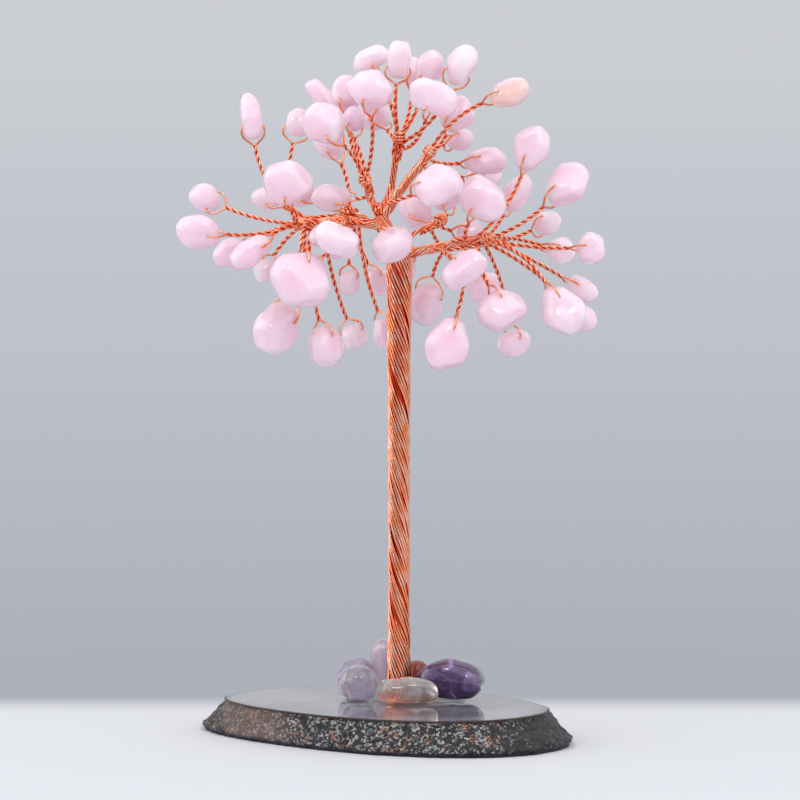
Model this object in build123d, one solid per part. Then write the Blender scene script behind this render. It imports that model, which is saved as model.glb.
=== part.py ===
from build123d import *
import os
from collections import namedtuple
from functools import cache
from math import asin, atan2, cos, hypot, pi, radians, sin, sqrt, tan

# Gemstone tree: a rope of copper wires opens into limbs and twigs, each twig a wire doubled
# through a drilled quartz chip. It stands on an agate slice among glued tumbled stones.
# +Z is up, +X to the right and -Y towards the viewer. The origin is on the trunk's axis,
# at the underside of the slice.

# Agate slice: a polished oval top, a wider natural rim, and a flat sawn underside
slab_thickness = 6.2
slab_girdle_height = 1.1
slab_top_half_length = 33.4
slab_top_half_width = 23.4
slab_rim_half_length = 39.2
slab_rim_half_width = 25.6
slab_underside_inset = 0.9
slab_turn = -38
slab_center_x = -2.4
slab_center_y = -3.0
slab_outline_shares = (1.0, 1.01, 0.97, 1.0, 1.03, 0.99, 0.98, 1.03, 0.99, 0.97, 1.02, 1.03)

# Wire and the twisted trunk
wire_diameter = 0.42
strand_count = 22
strand_ring_radius = 1.74
twist_pitch = 31.0
trunk_top_height = 86.5
core_clearance = 0.2
foot_flare_share = 0.3
head_swell_share = 0.3
foot_flare_power = 7
head_swell_power = 3
core_profile_steps = 16
arcs_per_turn = 7

# Crown: the box that places of limbs and chips are shares of
crown_half_width = 40.0
crown_half_depth = 24.0
crown_base_height = 68.0
crown_height = 62.0

# Limbs: sub-bundles of wire, each ending in a knot that twigs leave
stem_radius = 1.75
stem_straight_length = 3.2
limb_bend_radius = 2.4
knot_share = 1.3
knot_least_radius = 1.45

# Twigs and the loops that carry the chips
twig_diameter = 0.8
loop_standoff = 0.46
loop_corner_radius = 0.45
loop_shortest_side = 0.1
crotch_gap = 0.95
facing_share = 0.45

# Chips
chip_length = 10.0
drill_clearance = 0.1
drill_offset_share = 0.2
chip_swing_angle = 18
drill_overrun = 1.0

# Tumbled stones and the resin bed that holds them
bed_thickness = 0.6
bed_half_length = 12.0
bed_half_width = 8.4
bed_center_x = 0.8
bed_center_y = -0.6
bed_edge_radius = 0.25
bed_bore_clearance = 0.1
stone_length = 12.8

Limb = namedtuple("Limb", "radius_share root_share shares")

# Each limb: its radius as a share of the stem's, the share of the stem's length where it leaves,
# then the crown shares across, back and up that it follows
limbs = {
    "right": Limb(0.6, 0.3, ((0.14, -0.02, 0.375), (0.41, -0.06, 0.405))),
    "left": Limb(0.6, 0.82, ((-0.24, -0.03, 0.462), (-0.47, -0.08, 0.452))),
    "upper_left": Limb(0.49, 1.0, ((-0.13, 0.02, 0.525), (-0.16, -0.02, 0.585))),
    "upper_right": Limb(0.51, 0.9, ((0.005, -0.04, 0.55), (0.145, -0.02, 0.67))),
    "top": Limb(0.43, 0.97, ((-0.035, 0.16, 0.565), (0.0, 0.06, 0.715))),
    "rear_right": Limb(0.46, 0.45, ((0.08, 0.3, 0.43), (0.2, 0.52, 0.47))),
    "rear_left": Limb(0.46, 0.72, ((-0.16, 0.3, 0.475), (-0.26, 0.54, 0.5))),
}
stem_tip_shares = (-0.095, 0.0, 0.475)

Chip = namedtuple("Chip", "limb root x y z lean roll long wide thick form swings")

# Chips by name: limb, root share, crown shares (across, back, up), lean and roll in degrees,
# length, width and thickness as shares of the chip length, form, and whether it hangs free
chip_shares = {
    "right_1": Chip("right", 0.8, 0.62, 0.0, 0.68, 14, 75, 0.88, 0.72, 0.5, "drop", True),
    "right_2": Chip("right", 0.92, 0.56, 0.44, 0.55, 8, 70, 0.88, 0.54, 0.48, "oval", False),
    "right_3": Chip("right", 0.95, 0.79, 0.1, 0.57, 10, 60, 0.98, 0.8, 0.54, "drop", True),
    "right_4": Chip("right", 0.97, 0.71, 0.5, 0.46, 10, 45, 0.54, 0.5, 0.42, "oval", False),
    "right_5": Chip("right", 1.0, 0.9, -0.02, 0.38, 6, 80, 0.56, 0.68, 0.44, "wedge", True),
    "right_6": Chip("right", 1.0, 0.77, 0.48, 0.375, -8, 70, 0.62, 0.56, 0.44, "oval", False),
    "right_7": Chip("right", 1.0, 0.87, 0.3, 0.255, -4, 80, 0.72, 0.42, 0.4, "oval", False),
    "right_8": Chip("right", 1.0, 0.76, -0.28, 0.19, -15, 75, 1.02, 0.82, 0.55, "drop", True),
    "right_9": Chip("right", 0.93, 0.87, 0.12, 0.165, -10, 60, 0.54, 0.48, 0.42, "oval", False),
    "right_10": Chip("right", 0.93, 0.48, -0.36, 0.19, 12, 70, 0.82, 0.98, 0.55, "wedge", True),
    "right_11": Chip("right", 0.95, 0.55, 0.3, 0.09, -8, 60, 0.54, 0.7, 0.45, "oval", False),
    "right_12": Chip("right", 0.74, 0.225, -0.48, 0.09, -8, 85, 1.06, 0.84, 0.56, "drop", True),
    "right_13": Chip("right", 0.56, 0.3, -0.52, 0.31, 16, 80, 0.58, 0.94, 0.5, "wedge", True),
    "right_14": Chip("right", 0.66, 0.13, 0.36, 0.21, 14, 30, 0.9, 0.74, 0.54, "drop", True),
    "right_15": Chip("right", 0.8, 0.385, -0.26, 0.525, -12, 75, 0.8, 1.0, 0.58, "wedge", True),
    "left_1": Chip("left", 0.78, -0.695, 0.0, 0.78, -24, 10, 0.94, 0.62, 0.36, "oval", True),
    "left_2": Chip("left", 1.0, -0.48, 0.26, 0.762, -14, 10, 0.58, 0.5, 0.42, "drop", True),
    "left_3": Chip("left", 1.0, -0.915, 0.14, 0.53, -8, 35, 0.64, 0.6, 0.46, "oval", True),
    "left_4": Chip("left", 1.0, -0.935, -0.22, 0.425, -10, 75, 0.84, 0.66, 0.5, "wedge", True),
    "left_5": Chip("left", 0.98, -0.8, 0.24, 0.365, 8, 60, 0.7, 0.56, 0.46, "oval", False),
    "left_6": Chip("left", 0.97, -0.69, -0.3, 0.365, 8, 70, 0.88, 0.5, 0.42, "drop", True),
    "left_7": Chip("left", 0.96, -0.52, -0.42, 0.57, -10, 75, 0.85, 1.0, 0.6, "wedge", True),
    "left_8": Chip("left", 0.9, -0.63, 0.2, 0.53, 6, 60, 0.58, 0.42, 0.4, "oval", False),
    "left_9": Chip("left", 0.84, -0.445, -0.56, 0.28, 10, 65, 1.06, 1.22, 0.64, "wedge", True),
    "left_10": Chip("left", 0.9, -0.64, 0.18, 0.31, 10, 50, 0.5, 0.46, 0.4, "oval", False),
    "left_11": Chip("left", 0.93, -0.57, -0.2, 0.135, -10, 35, 1.06, 0.92, 0.6, "drop", True),
    "left_12": Chip("left", 0.86, -0.34, -0.14, 0.08, 8, 50, 0.8, 0.76, 0.5, "oval", True),
    "left_13": Chip("left", 0.7, -0.21, 0.26, 0.106, 8, 25, 0.56, 0.5, 0.42, "drop", True),
    "left_14": Chip("left", 0.66, -0.37, -0.34, 0.415, -12, 60, 0.52, 0.36, 0.3, "oval", False),
    "left_15": Chip("left", 0.42, -0.282, -0.6, 0.4, 10, 80, 0.62, 0.92, 0.5, "wedge", True),
    "left_16": Chip("left", 0.55, -0.235, 0.14, 0.275, -10, 40, 0.48, 0.42, 0.38, "oval", False),
    "upper_left_1": Chip("upper_left", 0.5, -0.345, -0.2, 0.75, 10, 60, 0.85, 0.8, 0.55, "drop", True),
    "upper_left_2": Chip("upper_left", 0.82, -0.37, 0.16, 0.845, 14, 80, 0.78, 0.4, 0.38, "oval", False),
    "upper_left_3": Chip("upper_left", 0.9, -0.25, 0.4, 0.855, -8, 60, 0.74, 0.7, 0.5, "oval", False),
    "upper_left_4": Chip("upper_left", 1.0, -0.135, -0.3, 0.85, 8, 60, 0.76, 0.95, 0.55, "wedge", True),
    "upper_left_5": Chip("upper_left", 1.0, -0.21, 0.04, 0.77, -8, 52, 0.5, 0.46, 0.4, "oval", False),
    "upper_left_6": Chip("upper_left", 0.76, -0.315, 0.25, 0.535, -16, 60, 0.76, 0.5, 0.45, "drop", False),
    "upper_left_7": Chip("upper_left", 0.4, 0.18, -0.57, 0.56, 8, 60, 0.92, 0.85, 0.6, "wedge", True),
    "top_1": Chip("top", 0.95, -0.13, 0.14, 0.955, 8, 80, 0.44, 0.76, 0.42, "oval", False),
    "top_2": Chip("top", 1.0, 0.0, -0.14, 0.945, -6, 10, 0.72, 0.46, 0.4, "drop", True),
    "top_3": Chip("top", 1.0, 0.07, 0.32, 0.92, 8, 60, 0.62, 0.46, 0.42, "oval", False),
    "top_4": Chip("top", 0.97, 0.145, 0.06, 0.925, 8, 60, 0.7, 0.5, 0.46, "drop", False),
    "top_5": Chip("top", 0.92, 0.29, -0.1, 0.93, 16, 30, 0.82, 0.66, 0.5, "oval", True),
    "top_6": Chip("top", 0.88, 0.155, -0.4, 0.825, 20, 75, 0.66, 1.0, 0.5, "oval", True),
    "top_7": Chip("top", 0.85, -0.12, 0.62, 0.8, 8, 60, 0.75, 0.66, 0.5, "wedge", False),
    "upper_right_1": Chip("upper_right", 0.98, 0.278, 0.16, 0.79, 8, 60, 0.75, 0.7, 0.5, "oval", False),
    "upper_right_2": Chip("upper_right", 0.96, 0.29, 0.44, 0.716, -8, 60, 0.56, 0.48, 0.42, "oval", False),
    "upper_right_3": Chip("upper_right", 1.0, 0.508, -0.06, 0.848, -14, 70, 0.82, 0.54, 0.44, "drop", True),
    "upper_right_4": Chip("upper_right", 0.92, 0.41, 0.3, 0.648, 8, 70, 0.82, 0.52, 0.46, "wedge", False),
    "upper_right_5": Chip("upper_right", 0.84, 0.42, 0.66, 0.6, 8, 70, 0.82, 0.54, 0.46, "oval", False),
    "rear_right_1": Chip("rear_right", 0.92, 0.345, 0.56, 0.428, 10, 60, 0.54, 0.5, 0.44, "oval", False),
    "rear_right_2": Chip("rear_right", 0.6, 0.03, 0.52, 0.33, 10, 50, 0.7, 0.44, 0.42, "drop", False),
    "rear_right_3": Chip("rear_right", 1.0, 0.24, 0.84, 0.56, 12, 60, 0.8, 0.7, 0.5, "wedge", False),
    "rear_right_4": Chip("rear_right", 0.8, 0.42, 0.8, 0.26, 10, 60, 0.8, 0.74, 0.5, "drop", False),
    "rear_right_5": Chip("rear_right", 0.94, 0.08, 0.95, 0.5, -12, 60, 0.8, 0.66, 0.5, "oval", False),
    "rear_left_1": Chip("rear_left", 0.7, -0.06, 0.52, 0.12, 8, 60, 0.7, 0.5, 0.44, "drop", False),
    "rear_left_2": Chip("rear_left", 0.85, -0.1, 0.72, 0.28, 8, 60, 0.6, 0.5, 0.44, "oval", False),
    "rear_left_3": Chip("rear_left", 1.0, -0.5, 0.64, 0.57, -10, 60, 0.8, 0.76, 0.52, "wedge", False),
    "rear_left_4": Chip("rear_left", 0.97, -0.3, 0.92, 0.42, 10, 60, 0.84, 0.7, 0.52, "drop", False),
    "rear_left_5": Chip("rear_left", 0.92, -0.33, 0.7, 0.72, 10, 60, 0.8, 0.7, 0.5, "oval", False),
    "rear_left_6": Chip("rear_left", 0.9, -0.46, 0.66, 0.3, -10, 60, 0.8, 0.74, 0.5, "wedge", False),
    "stem_1": Chip("stem", 0.62, -0.03, -0.36, 0.385, 14, 80, 0.84, 0.8, 0.56, "drop", True),
}

# Pebble outlines: circles in order round the form, each with its place between the sides, as
# shares of the room along and across, and its radius as a share of the lesser size
form_circle_shares = {
    "oval": ((1.0, -0.1, 0.42), (0.05, 1.0, 0.46), (-1.0, 0.15, 0.4), (-0.05, -1.0, 0.46)),
    "drop": ((1.0, -0.15, 0.42), (0.5, 1.0, 0.42), (-1.0, 0.0, 0.28), (0.35, -1.0, 0.42)),
    "wedge": ((1.0, -0.5, 0.36), (0.55, 1.0, 0.4), (-1.0, 0.3, 0.36), (-0.45, -1.0, 0.4)),
}
form_round_share = 0.47

Stone = namedtuple("Stone", "x y long wide high turn form sink")

# Tumbled stones by name: place from the trunk as shares of the bed's half length and half width,
# length, width and height as shares of the stone length, turn, form, and the share cut off below
stone_shares = {
    "amethyst_pebble": Stone(0.8, 0.0, 1.0, 0.72, 0.67, -12, "oval", 0.12),
    "clear_pebble": Stone(0.135, -0.9, 0.94, 0.44, 0.43, 6, "oval", 0.14),
    "smoky_pebble": Stone(-0.615, -0.45, 0.545, 0.5, 0.595, 30, "oval", 0.14),
    "lavender_pebble": Stone(-0.7, 0.405, 0.485, 0.515, 0.655, -30, "wedge", 0.14),
    "rose_pebble": Stone(-0.2, 0.835, 0.5, 0.485, 0.985, 10, "oval", 0.16),
    "red_pebble": Stone(0.285, 0.785, 0.36, 0.31, 0.58, 40, "drop", 0.14),
}

trunk_length = trunk_top_height - slab_thickness
wire_radius = wire_diameter / 2
twig_radius = twig_diameter / 2
drill_radius = wire_radius + drill_clearance


def crown_point(across, back, up):
    """A place in the crown from its shares of the crown's box."""
    height = crown_base_height + up * crown_height
    return Vector(across * crown_half_width, back * crown_half_depth, height)


def tube(path, radius):
    """A round bar along a path."""
    return sweep(Plane(origin=path @ 0, z_dir=path % 0) * Circle(radius), path=path)


def slab_section(half_length, half_width, height):
    """The slice's natural outline at one height."""
    points = []
    for number, share in enumerate(slab_outline_shares):
        angle = 2 * pi * number / len(slab_outline_shares)
        points.append((half_length * share * cos(angle), half_width * share * sin(angle)))
    place = Pos(slab_center_x, slab_center_y, height) * Rot(0, 0, slab_turn)
    return place * make_face(Spline(*points, periodic=True))


def agate_slice():
    underside_length = slab_rim_half_length - slab_underside_inset
    underside_width = slab_rim_half_width - slab_underside_inset
    sections = [
        slab_section(underside_length, underside_width, 0),
        slab_section(slab_rim_half_length, slab_rim_half_width, slab_girdle_height),
        slab_section(slab_top_half_length, slab_top_half_width, slab_thickness),
    ]
    return loft(sections, ruled=True)


def strand_ring(height):
    """Radius of the strands' ring at a height, wider at the foot and at the head."""
    rise = min(max((height - slab_thickness) / trunk_length, 0), 1)
    flare = foot_flare_share * (1 - rise) ** foot_flare_power
    swell = head_swell_share * rise**head_swell_power
    return strand_ring_radius * (1 + flare + swell)


def strand_point(height):
    """A point on the left-handed line of one strand."""
    angle = -2 * pi * height / twist_pitch
    ring = strand_ring(height)
    return Vector(ring * cos(angle), ring * sin(angle), height)


def strand_direction(height):
    step = wire_radius / twist_pitch
    return (strand_point(height + step) - strand_point(height - step)).normalized()


def biarc(start, start_direction, end, end_direction):
    """Two tangent arcs that join two points with given directions."""
    span = end - start
    both = start_direction + end_direction
    square = both.dot(both) - 4
    slope = span.dot(both)
    reach = (slope - sqrt(slope * slope - square * span.dot(span))) / square
    first = start + start_direction * reach
    second = end - end_direction * reach
    middle = (first + second) / 2
    along = (second - first).normalized()
    return [TangentArc(start, middle, tangent=start_direction), TangentArc(middle, end, tangent=along)]


def trunk_strands():
    """Outer layer of wires, each one tube on biarcs, cut level at the slice and at the head."""
    low = slab_thickness - wire_diameter
    high = trunk_top_height + wire_diameter
    count = round((high - low) / twist_pitch * arcs_per_turn)
    heights = [low + (high - low) * number / count for number in range(count + 1)]
    arcs = []
    for below, above in zip(heights, heights[1:]):
        arcs += biarc(
            strand_point(below), strand_direction(below), strand_point(above), strand_direction(above)
        )
    strand = tube(Wire(arcs), wire_radius)
    strand = split(strand, bisect_by=Plane.XY.offset(slab_thickness), keep=Keep.TOP)
    strand = split(strand, bisect_by=Plane.XY.offset(trunk_top_height), keep=Keep.BOTTOM)
    return [Rot(0, 0, 360 * number / strand_count) * strand for number in range(strand_count)]


def core_radius(height):
    return strand_ring(height) - wire_radius - core_clearance


def trunk_core():
    """The inner wires of the rope, as one rod that swells with the strands."""
    side = []
    for number in range(core_profile_steps + 1):
        height = slab_thickness + trunk_length * number / core_profile_steps
        side.append((core_radius(height), 0, height))
    outline = Polyline((0, 0, trunk_top_height), (0, 0, slab_thickness), side[0])
    outline += Spline(*side)
    outline += Line(side[-1], (0, 0, trunk_top_height))
    return revolve(make_face(outline), axis=Axis.Z)


@cache
def stem_path():
    """The rope above the trunk's head, leaning towards the left limb."""
    foot = Vector(0, 0, trunk_top_height)
    bend = foot + Vector(0, 0, stem_straight_length)
    return FilletPolyline(foot, bend, crown_point(*stem_tip_shares), radius=limb_bend_radius)


@cache
def limb_path(name):
    if name == "stem":
        return stem_path()
    limb = limbs[name]
    points = [crown_point(*share) for share in limb.shares]
    return FilletPolyline(stem_path() @ limb.root_share, *points, radius=limb_bend_radius)


def limb_solid(name, stem):
    """A limb and its knot, seated on the stem."""
    path = limb_path(name)
    radius = limbs[name].radius_share * stem_radius
    knot = max(radius * knot_share, knot_least_radius)
    return tube(path, radius) + Pos(path @ 1) * Sphere(knot) - stem


def stem_solid():
    path = stem_path()
    return tube(path, stem_radius) + Pos(path @ 1) * Sphere(stem_radius)


def chip_sizes(chip):
    """Length along the twig, width across and thickness along the drilled hole."""
    return [share * chip_length for share in (chip.long, chip.wide, chip.thick)]


@cache
def chip_plane(chip):
    """Frame at the drilled hole: x away from the twig, z along the hole."""
    root = limb_path(chip.limb) @ chip.root
    center = crown_point(chip.x, chip.y, chip.z)
    chord = center - root
    facing = Vector(chord.X, chord.Y * facing_share, chord.Z).normalized()
    outward = facing.rotate(Axis((0, 0, 0), (0, -1, 0)), chip.lean)
    level = outward.cross(Vector(0, 1, 0)).normalized()
    along_hole = level.rotate(Axis((0, 0, 0), outward), chip.roll)
    hole = center - outward * drill_offset_share * chip.long * chip_length
    return Plane(origin=hole, x_dir=outward, z_dir=along_hole)


def chip_near_end(chip):
    """Hole to the chip's near end, as far as any angle of its swing brings it."""
    length, width, _ = chip_sizes(chip)
    near_end = length * (0.5 - drill_offset_share)
    swing = radians(chip_swing_angle)
    return max(near_end, hypot(near_end * cos(swing), width / 2 * sin(swing)))


def form_outline(form, length, width):
    """Closed outline of a pebble: the line drawn tight round its circles."""
    circles = []
    for along_share, across_share, radius_share in form_circle_shares[form]:
        radius = radius_share * min(length, width)
        center = Vector(along_share * (length / 2 - radius), across_share * (width / 2 - radius))
        circles.append((center, radius))
    runs = []
    for (center, radius), (next_center, next_radius) in zip(circles, circles[1:] + circles[:1]):
        step = next_center - center
        lean = (radius - next_radius) / step.length
        along = step.normalized()
        outward = along * lean + along.cross(Vector(0, 0, 1)) * sqrt(1 - lean * lean)
        runs.append((outward, Line(center + outward * radius, next_center + outward * next_radius)))
    edges = []
    for number, (center, radius) in enumerate(circles):
        before, arriving = runs[number - 1]
        after, leaving = runs[number]
        middle = center + (before + after).normalized() * radius
        edges += [ThreePointArc(arriving @ 1, middle, leaving @ 0), leaving]
    return make_face(edges)


def rim_rounding(form, length, width, thickness):
    """Radius that both rims of a pebble are worn to."""
    least_share = min(radius_share for _, _, radius_share in form_circle_shares[form])
    return form_round_share * min(thickness, 2 * least_share * min(length, width))


def pebble(form, length, width, thickness):
    """A tumbled pebble: its outline given a thickness, and rounded all round both rims."""
    body = extrude(form_outline(form, length, width), thickness / 2, both=True)
    rims = body.edges().group_by(Axis.Z)
    return fillet(rims[0] + rims[-1], rim_rounding(form, length, width, thickness))


def chip_solid(chip):
    """A pebble on its hole's frame, drilled through its thickness."""
    length, width, thickness = chip_sizes(chip)
    body = Pos(drill_offset_share * length, 0, 0) * pebble(chip.form, length, width, thickness)
    body -= Cylinder(drill_radius, thickness + drill_overrun)
    return chip_plane(chip).location * body


def loop_line(chip, crotch):
    """The wire from the crotch round the chip's worn end, through its hole and back."""
    length, width, thickness = chip_sizes(chip)
    near_end = chip_near_end(chip)
    worn = rim_rounding(chip.form, length, width, thickness)
    worn = min(worn, near_end - loop_corner_radius - loop_shortest_side)
    stand = thickness / 2 + loop_standoff
    bend = worn + loop_standoff
    along = crotch - near_end + worn
    across = thickness / 2 - worn - wire_radius
    opening = atan2(across, along) + asin(bend / hypot(along, across))
    shoulder = crotch - (stand - wire_radius) / tan(opening)
    corners = [
        (-crotch, 0, -wire_radius),
        (-shoulder, 0, -stand),
        (0, 0, -stand),
        (0, 0, stand),
        (-shoulder, 0, stand),
        (-crotch, 0, wire_radius),
    ]
    return FilletPolyline(*corners, radius=(bend, loop_corner_radius, loop_corner_radius, bend))


def twig_solid(chip, limb):
    """Two wires twisted from the limb to the crotch, then opened round the chip as one loop."""
    plane = chip_plane(chip)
    crotch = chip_near_end(chip) + crotch_gap
    loop = tube(loop_line(chip, crotch), wire_radius)
    start = plane.from_local_coords((-crotch, 0, 0))
    root = limb_path(chip.limb) @ chip.root
    twig = tube(TangentArc(start, root, tangent=-plane.x_dir), twig_radius)
    return twig + plane.location * loop - limb


def stone_solid(stone):
    """A tumbled stone, cut flat where it is glued."""
    length, width, height = [share * stone_length for share in (stone.long, stone.wide, stone.high)]
    floor = slab_thickness + bed_thickness
    middle = floor + height * (0.5 - stone.sink)
    place = Pos(stone.x * bed_half_length, stone.y * bed_half_width, middle) * Rot(0, 0, stone.turn)
    body = place * Rot(90, 0, 0) * pebble(stone.form, length, height, width)
    return split(body, bisect_by=Plane.XY.offset(floor), keep=Keep.TOP)


def resin_bed():
    """A thin puddle of resin on the slice, with the trunk's foot through it."""
    place = Pos(bed_center_x, bed_center_y, slab_thickness)
    puddle = extrude(place * Ellipse(bed_half_length, bed_half_width), bed_thickness)
    puddle = fillet(puddle.edges().group_by(Axis.Z)[-1], bed_edge_radius)
    bore = strand_ring(slab_thickness) + wire_radius + bed_bore_clearance
    return puddle - Pos(0, 0, slab_thickness) * Cylinder(bore, 2 * bed_thickness)


def solids():
    """Every node of the tree, by name, as a list of solids."""
    nodes = {"agate_slice": [agate_slice()], "resin_bed": [resin_bed()]}
    for name, stone in stone_shares.items():
        nodes[name] = [stone_solid(stone)]
    nodes["trunk_core"] = [trunk_core()]
    nodes["trunk_strands"] = trunk_strands()
    bundles = {"stem": stem_solid()}
    for name in limbs:
        bundles[name] = limb_solid(name, bundles["stem"])
    for name, bundle in bundles.items():
        nodes[f"{name}_bundle"] = [bundle]
        nodes[f"{name}_twigs"] = []
    for name, chip in chip_shares.items():
        nodes[f"{chip.limb}_twigs"].append(twig_solid(chip, bundles[chip.limb]))
        side = chip.limb.split("_")[0]
        node = f"chip_{name}" if chip.swings else f"{side}_wedged_chips"
        nodes.setdefault(node, []).append(chip_solid(chip))
    return nodes


def main():
    os.makedirs("parts", exist_ok=True)
    for name, pieces in solids().items():
        bodies = [solid for piece in pieces for solid in piece.solids()]
        export_step(Compound(children=bodies) if len(bodies) > 1 else bodies[0], f"parts/{name}.step")


if __name__ == "__main__":
    main()
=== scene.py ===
import random
from math import asin, atan2, cos, hypot, pi, radians, sin, tan

import bmesh
import bpy
import numpy as np
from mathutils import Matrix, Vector, noise


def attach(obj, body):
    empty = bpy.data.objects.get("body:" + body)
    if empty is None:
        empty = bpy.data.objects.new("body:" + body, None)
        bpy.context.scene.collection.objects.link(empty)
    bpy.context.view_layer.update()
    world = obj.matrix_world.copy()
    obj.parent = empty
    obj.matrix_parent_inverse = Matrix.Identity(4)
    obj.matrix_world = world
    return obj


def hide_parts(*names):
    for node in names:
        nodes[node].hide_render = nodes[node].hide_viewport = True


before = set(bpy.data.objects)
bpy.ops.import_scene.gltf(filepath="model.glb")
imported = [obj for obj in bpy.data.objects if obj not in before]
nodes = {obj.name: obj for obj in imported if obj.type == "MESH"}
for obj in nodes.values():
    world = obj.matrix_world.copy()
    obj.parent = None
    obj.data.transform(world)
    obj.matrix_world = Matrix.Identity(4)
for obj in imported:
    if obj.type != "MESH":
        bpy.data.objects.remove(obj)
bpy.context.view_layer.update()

mm = 0.001
nearZero = 1e-6
upright = 1e-4
print("frame loaded:", len(nodes), "nodes")


class Wired:
    # a tree, or one socket in it, with operators that add Math nodes
    def __init__(self, tree, socket=None):
        self.tree = tree
        self.socket = socket

    def also(self, name):
        return Wired(self.tree, self.socket.node.outputs[name])

    def put(self, socket, value):
        if isinstance(value, Wired):
            self.tree.links.new(value.socket, socket)
        elif socket.type == "RGBA" and len(value) == 3:
            socket.default_value = (*value, 1)
        else:
            socket.default_value = value

    def node(self, kind, settings=None, sockets=None, out=0):
        made = self.tree.nodes.new(kind)
        for name, value in (settings or {}).items():
            if name == "stops":
                self.stops(made.color_ramp, value)
            else:
                setattr(made, name, value)
        for name, value in (sockets or {}).items():
            self.put(made.inputs[name], value)
        return Wired(self.tree, made.outputs[out])

    def stops(self, ramp, places):
        ramp.elements.remove(ramp.elements[1])
        for number, (place, colour) in enumerate(places):
            stop = ramp.elements[0] if number == 0 else ramp.elements.new(place)
            stop.position = place
            stop.color = (*colour, 1)

    def maths(self, operation, first, second=0.0):
        return self.node("ShaderNodeMath", {"operation": operation}, {0: first, 1: second})

    def __add__(self, other):
        return self.maths("ADD", self, other)

    def __sub__(self, other):
        return self.maths("SUBTRACT", self, other)

    def __rsub__(self, other):
        return self.maths("SUBTRACT", other, self)

    def __mul__(self, other):
        return self.maths("MULTIPLY", self, other)

    def __truediv__(self, other):
        return self.maths("DIVIDE", self, other)


def mixed(graph, share, first, second):
    return graph.node("ShaderNodeMix", {"data_type": "RGBA"}, {0: share, 6: first, 7: second}, out=2)


def cloud(graph, place, scale, detail=3.0, distortion=0.0):
    sockets = {"Vector": place, "Scale": scale, "Detail": detail, "Distortion": distortion}
    return graph.node("ShaderNodeTexNoise", None, sockets)


def step(graph, value, low, high):
    settings = {"interpolation_type": "SMOOTHSTEP", "clamp": True}
    return graph.node("ShaderNodeMapRange", settings, {"Value": value, "From Min": low, "From Max": high})


def bumped(graph, height, strength, distance):
    return graph.node("ShaderNodeBump", None, {"Height": height, "Strength": strength, "Distance": distance})


def onMesh(graph, name):
    return graph.node("ShaderNodeAttribute", {"attribute_name": name}, out="Fac")


def axes(graph, place):
    split = graph.node("ShaderNodeSeparateXYZ", None, {"Vector": place})
    return [split.also(axis) for axis in "XYZ"]


def surface(name, fixed, pattern=None):
    material = bpy.data.materials.new(name)
    material.use_nodes = True
    tree = material.node_tree
    shader = tree.nodes["Principled BSDF"]
    for socket, value in fixed.items():
        shader.inputs[socket].default_value = value
    if pattern:
        graph = Wired(tree)
        place = graph.node("ShaderNodeTexCoord", out="Object")
        for socket, value in pattern(graph, place).items():
            graph.put(shader.inputs[socket], value)
    return material


# Copper wire: bright outside, with painted shade in deep red between the wires
copperLook = {
    "bright": (1.0, 0.58, 0.42),
    "warm": (1.0, 0.34, 0.16),
    "creviceShade": (0.78, 0.05, 0.01),
    "toneScale": 420.0,
    "toneRange": (0.35, 0.7),
    "unshadedSideRange": (0.36, 0.74),
    "fixed": {"Metallic": 1.0, "Roughness": 0.14, "Specular Tint": (1.0, 0.70, 0.58, 1)},
}


def copperPattern(graph, place):
    look = copperLook
    tone = step(graph, cloud(graph, place, look["toneScale"]), *look["toneRange"])
    metal = mixed(graph, tone, look["warm"], look["bright"])
    # painted shade: where a wire faces into its run, its colour goes to the deep red shade between the wires
    outside = step(graph, onMesh(graph, "outside"), *look["unshadedSideRange"])
    return {"Base Color": mixed(graph, outside, look["creviceShade"], metal)}


copper = surface("copperWire", copperLook["fixed"], copperPattern)

# Rose quartz: milky, with paler clouds
quartzLook = {
    "deep": (0.93, 0.63, 0.755),
    "pale": (0.95, 0.715, 0.815),
    "milk": (0.94, 0.79, 0.86),
    "rust": (0.90, 0.56, 0.44),
    "violet": (0.70, 0.53, 0.78),
    "clouds": {"scale": 170.0, "detail": 4.0, "distortion": 0.6},
    "veins": {"scale": 90.0, "detail": 6.0, "distortion": 1.6},
    "waves": {"scale": 420.0, "detail": 1.0},
    "waveBump": (0.3, 0.0004),
    "paleTint": 0.5,
    "paleRange": (0.35, 0.95),
    "milkTint": 0.3,
    "milkRange": (0.7, 0.95),
    "rustRange": (0.38, 0.62),
    "violetRange": (0.3, 0.6),
    "tints": (0.1, 0.7),
    "fixed": {
        "Roughness": 0.06,
        "IOR": 1.54,
        "Subsurface Weight": 0.9,
        "Subsurface Radius": (1.0, 0.7, 0.8),
        "Subsurface Scale": 0.005,
        "Transmission Weight": 0.14,
        "Coat Weight": 0.8,
        "Coat Roughness": 0.03,
    },
}


def quartzPattern(graph, place):
    look = quartzLook
    tint, rust, violet = [onMesh(graph, name) for name in ("tint", "rust", "violet")]
    clouds = cloud(graph, place, **look["clouds"])
    veins = cloud(graph, place, **look["veins"])
    pale = step(graph, clouds + tint * look["paleTint"], *look["paleRange"])
    milky = step(graph, veins + tint * look["milkTint"], *look["milkRange"])
    colour = mixed(graph, pale, look["deep"], look["pale"])
    colour = mixed(graph, milky, colour, look["milk"])
    colour = mixed(graph, rust * step(graph, clouds, *look["rustRange"]), colour, look["rust"])
    colour = mixed(graph, violet * step(graph, clouds, *look["violetRange"]), colour, look["violet"])
    waves = cloud(graph, place, **look["waves"])
    return {"Base Color": colour, "Normal": bumped(graph, waves, *look["waveBump"])}


quartz = surface("roseQuartz", quartzLook["fixed"], quartzPattern)

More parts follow.
